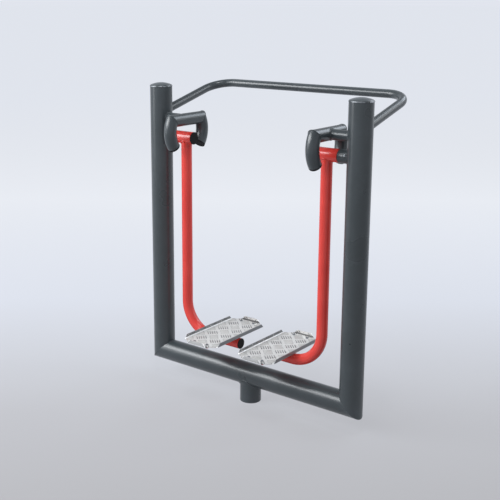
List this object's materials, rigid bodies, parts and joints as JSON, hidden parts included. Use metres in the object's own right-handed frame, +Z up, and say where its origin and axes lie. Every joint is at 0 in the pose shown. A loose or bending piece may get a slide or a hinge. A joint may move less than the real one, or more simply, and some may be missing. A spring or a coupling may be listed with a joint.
{
  "type": "air walker",
  "caption": "Outdoor air walker: a U-shaped tube frame on a ground stub, with a raised handrail loop and swinging foot arms hung from pivots on the posts.",
  "frame": {"origin": "centre of the ground stub's lower end", "axes": "+X across the walker towards its right post, +Y from front to back (the handrail's side), +Z up"},
  "size_m": [1.2992, 0.7232, 1.594],
  "materials": {
    "frame_coat": "fine-texture polyester powder coat, anthracite grey, satin",
    "arm_coat": "smooth polyester powder coat, traffic red, satin gloss",
    "tread_sheet": "mill-finish aluminium five-bar tread plate, slightly dulled",
    "zinc_steel": "bright zinc-plated or stainless steel",
    "bearing_steel": "ground and polished bearing steel",
    "buffer_rubber": "moulded black rubber, matt",
    "seal_rubber": "black nitrile bearing seal",
    "cap_plastic": "moulded black polyethylene, fine grain"
  },
  "bodies": {
    "frame": {"cross_beam": "frame_coat", "ground_stub": "frame_coat", "handrail": "frame_coat", "post_left": "frame_coat", "post_right": "frame_coat", "post_cap_left": "frame_coat", "post_cap_right": "frame_coat", "bracket_stem_left": "frame_coat", "bracket_stem_right": "frame_coat", "bracket_bar_left": "frame_coat", "bracket_bar_right": "frame_coat", "front_leg_left": "frame_coat", "front_leg_right": "frame_coat", "rear_leg_left": "frame_coat", "rear_leg_right": "frame_coat", "stop_buffers_left": "buffer_rubber", "stop_buffers_right": "buffer_rubber", "pivot_boss_left": "frame_coat", "pivot_boss_right": "frame_coat", "boss_screw_left": "zinc_steel", "boss_screw_right": "zinc_steel", "pivot_shaft_left": "zinc_steel", "pivot_shaft_right": "zinc_steel", "boss_spacer_left": "zinc_steel", "boss_spacer_right": "zinc_steel", "bearing_sleeve_left": "zinc_steel", "bearing_sleeve_right": "zinc_steel", "bearing_inner_rings_left": "bearing_steel", "bearing_inner_rings_right": "bearing_steel", "end_washer_left": "zinc_steel", "end_washer_right": "zinc_steel", "end_bolt_left": "zinc_steel", "end_bolt_right": "zinc_steel"},
    "left_arm": {"bearing_outer_rings_left": "bearing_steel", "bearing_balls_left": "bearing_steel", "bearing_shields_left": "seal_rubber", "hub_left": "arm_coat", "hub_cap_left": "cap_plastic", "swing_arm_left": "arm_coat", "arm_end_cap_left": "cap_plastic", "plate_bearers_left": "arm_coat", "footplate_left": "tread_sheet", "footplate_bolts_left": "zinc_steel", "footplate_washers_left": "zinc_steel", "footplate_nuts_left": "zinc_steel"},
    "right_arm": {"bearing_outer_rings_right": "bearing_steel", "bearing_balls_right": "bearing_steel", "bearing_shields_right": "seal_rubber", "hub_right": "arm_coat", "hub_cap_right": "cap_plastic", "swing_arm_right": "arm_coat", "arm_end_cap_right": "cap_plastic", "plate_bearers_right": "arm_coat", "footplate_right": "tread_sheet", "footplate_bolts_right": "zinc_steel", "footplate_washers_right": "zinc_steel", "footplate_nuts_right": "zinc_steel"}
  },
  "joints": [
    {"name": "left_swing", "type": "hinge", "parent": "frame", "child": "left_arm", "pos_m": [-0.422, 0, 1.3225], "axis": [1, 0, 0], "range_deg": [-51, 51]},
    {"name": "right_swing", "type": "hinge", "parent": "frame", "child": "right_arm", "pos_m": [0.422, 0, 1.3225], "axis": [1, 0, 0], "range_deg": [-51, 51]}
  ]
}
